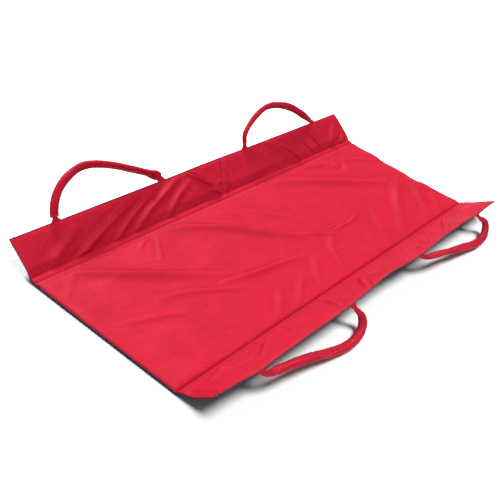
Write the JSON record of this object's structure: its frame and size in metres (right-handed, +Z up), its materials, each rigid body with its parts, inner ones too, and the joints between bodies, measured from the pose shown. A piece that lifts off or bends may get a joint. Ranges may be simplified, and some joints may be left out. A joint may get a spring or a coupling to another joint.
{
  "type": "folding stretcher",
  "caption": "Padded folding carry sheet with raised side wings and padded loop handles, for lifting a lying person.",
  "frame": {"origin": "on the flat underside, at the middle of the fold across the sheet", "axes": "+X towards the head end, +Y towards the far wing, +Z up out of the red face"},
  "size_m": [1.9, 1.0243, 0.2291],
  "materials": {
    "red_nylon": "satin",
    "navy_coated_nylon": "satin",
    "handle_fabric": "matte",
    "padding_foam": "matte",
    "webbing": "matte"
  },
  "bodies": {
    "centre_foot": {"centre_base_foot": "navy_coated_nylon", "centre_cover_foot": "red_nylon", "centre_padding_foot": "padding_foam", "centre_straps_foot": "webbing", "far_seam_band_foot": "red_nylon"},
    "far_wing_foot": {"far_wing_backing_foot": "navy_coated_nylon", "far_wing_cover_foot": "red_nylon", "far_wing_edge_binding_foot": "navy_coated_nylon", "far_wing_padding_foot": "padding_foam", "far_wing_straps_foot": "webbing"},
    "far_handle_foot": {"far_handle_padding_foot": "padding_foam", "far_handle_sleeve_foot": "handle_fabric", "far_handle_tabs_foot": "handle_fabric", "far_handle_webbing_foot": "webbing"},
    "near_wing_foot": {"near_seam_band_foot": "red_nylon", "near_wing_backing_foot": "navy_coated_nylon", "near_wing_cover_foot": "red_nylon", "near_wing_edge_binding_foot": "navy_coated_nylon", "near_wing_padding_foot": "padding_foam", "near_wing_straps_foot": "webbing"},
    "near_handle_foot": {"near_handle_padding_foot": "padding_foam", "near_handle_sleeve_foot": "handle_fabric", "near_handle_tabs_foot": "handle_fabric", "near_handle_webbing_foot": "webbing"},
    "centre_head": {"centre_base_head": "navy_coated_nylon", "centre_cover_head": "red_nylon", "centre_padding_head": "padding_foam", "centre_straps_head": "webbing", "far_seam_band_head": "red_nylon"},
    "far_wing_head": {"far_wing_backing_head": "navy_coated_nylon", "far_wing_cover_head": "red_nylon", "far_wing_edge_binding_head": "navy_coated_nylon", "far_wing_padding_head": "padding_foam", "far_wing_straps_head": "webbing"},
    "far_handle_head": {"far_handle_padding_head": "padding_foam", "far_handle_sleeve_head": "handle_fabric", "far_handle_tabs_head": "handle_fabric", "far_handle_webbing_head": "webbing"},
    "near_wing_head": {"near_seam_band_head": "red_nylon", "near_wing_backing_head": "navy_coated_nylon", "near_wing_cover_head": "red_nylon", "near_wing_edge_binding_head": "navy_coated_nylon", "near_wing_padding_head": "padding_foam", "near_wing_straps_head": "webbing"},
    "near_handle_head": {"near_handle_padding_head": "padding_foam", "near_handle_sleeve_head": "handle_fabric", "near_handle_tabs_head": "handle_fabric", "near_handle_webbing_head": "webbing"}
  },
  "joints": [
    {"name": "mid_fold", "type": "hinge", "parent": "centre_foot", "child": "centre_head", "pos_m": [0, 0, 0], "axis": [0, 1, 0], "range_deg": [0, 175]},
    {"name": "far_wing_fold_foot", "type": "hinge", "parent": "centre_foot", "child": "far_wing_foot", "pos_m": [0, 0.29, 0.014], "axis": [1, 0, 0], "range_deg": [-32, 130]},
    {"name": "far_wing_fold_head", "type": "hinge", "parent": "centre_head", "child": "far_wing_head", "pos_m": [0, 0.29, 0.014], "axis": [1, 0, 0], "range_deg": [-32, 130]},
    {"name": "near_wing_fold_foot", "type": "hinge", "parent": "centre_foot", "child": "near_wing_foot", "pos_m": [0, -0.29, 0.014], "axis": [-1, 0, 0], "range_deg": [-32, 130]},
    {"name": "near_wing_fold_head", "type": "hinge", "parent": "centre_head", "child": "near_wing_head", "pos_m": [0, -0.29, 0.014], "axis": [-1, 0, 0], "range_deg": [-32, 130]},
    {"name": "far_handle_swing_foot", "type": "hinge", "parent": "far_wing_foot", "child": "far_handle_foot", "pos_m": [0, 0.42643, 0.09571], "axis": [-1, 0, 0], "range_deg": [-93, 147]},
    {"name": "far_handle_swing_head", "type": "hinge", "parent": "far_wing_head", "child": "far_handle_head", "pos_m": [0, 0.42643, 0.09571], "axis": [-1, 0, 0], "range_deg": [-93, 147]},
    {"name": "near_handle_swing_foot", "type": "hinge", "parent": "near_wing_foot", "child": "near_handle_foot", "pos_m": [0, -0.42643, 0.09571], "axis": [1, 0, 0], "range_deg": [-200, 40]},
    {"name": "near_handle_swing_head", "type": "hinge", "parent": "near_wing_head", "child": "near_handle_head", "pos_m": [0, -0.42643, 0.09571], "axis": [1, 0, 0], "range_deg": [-200, 40]}
  ],
  "couplings": [
    {"joint": "far_wing_fold_head", "follows": "far_wing_fold_foot", "ratio": 1},
    {"joint": "near_wing_fold_head", "follows": "near_wing_fold_foot", "ratio": 1}
  ]
}
